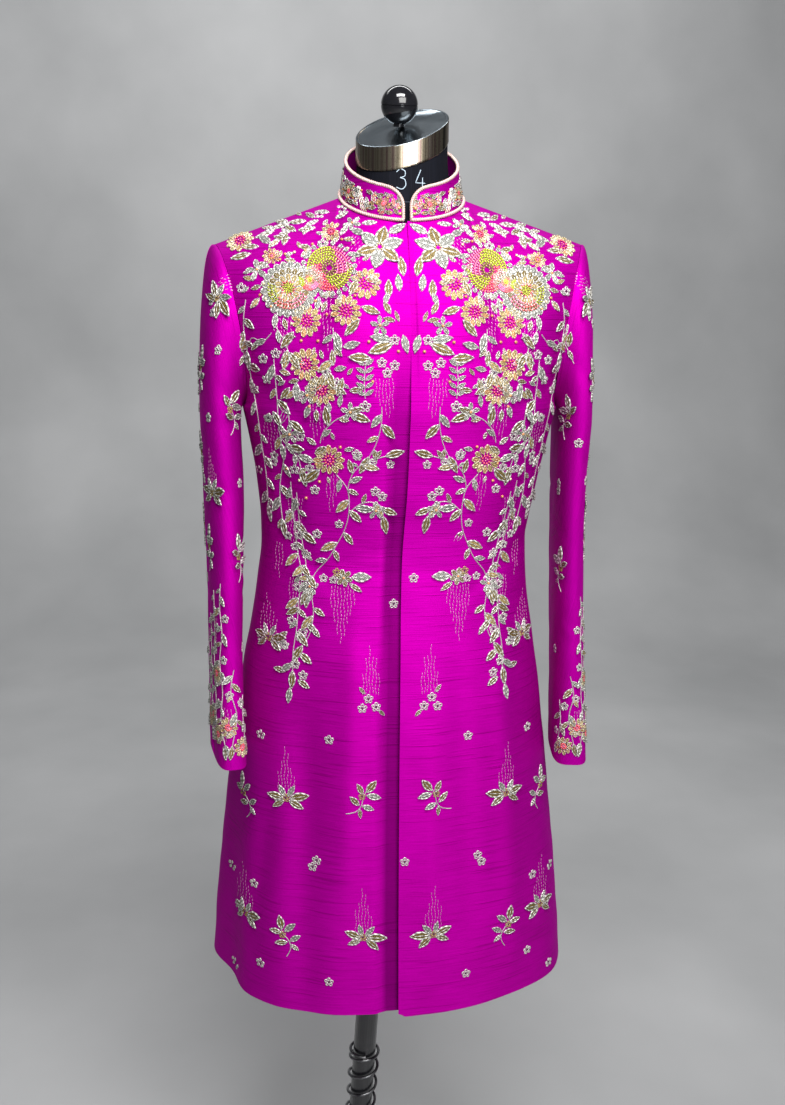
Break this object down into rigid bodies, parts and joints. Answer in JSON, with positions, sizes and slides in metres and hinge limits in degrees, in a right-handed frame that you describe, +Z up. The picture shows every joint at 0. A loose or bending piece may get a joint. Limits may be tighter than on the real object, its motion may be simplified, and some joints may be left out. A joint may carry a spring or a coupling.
{
  "type": "sherwani coat on a dress form with a stand",
  "caption": "Knee-length embroidered coat with a standing collar and long sleeves, filled out by a limbless dress form on a round-based stand.",
  "frame": {"origin": "middle of the base's flat underside, on the floor", "axes": "+Z up; the coat faces -Y; +X is the wearer's left"},
  "size_m": [0.486, 0.38, 1.5617],
  "materials": {
    "silk": "magenta raw silk with fine level slubs and a soft satin sheen",
    "cord": "pale pink and gold cord, beads and metal thread",
    "form_cloth": "taut dark cloth",
    "chrome": "polished band, brushed plate",
    "gloss_black": "glossy black",
    "stand_paint": "black paint, satin",
    "spring_steel": "bare steel wire"
  },
  "bodies": {
    "root": {"front_left": "silk", "front_right": "silk", "back": "silk", "sleeve_left": "silk", "sleeve_right": "silk", "collar": "silk", "collar_piping": "cord", "form_body": "form_cloth", "neck_cap": "chrome", "knob": "gloss_black", "pole": "stand_paint", "spring": "spring_steel", "base": "stand_paint"}
  },
  "joints": []
}
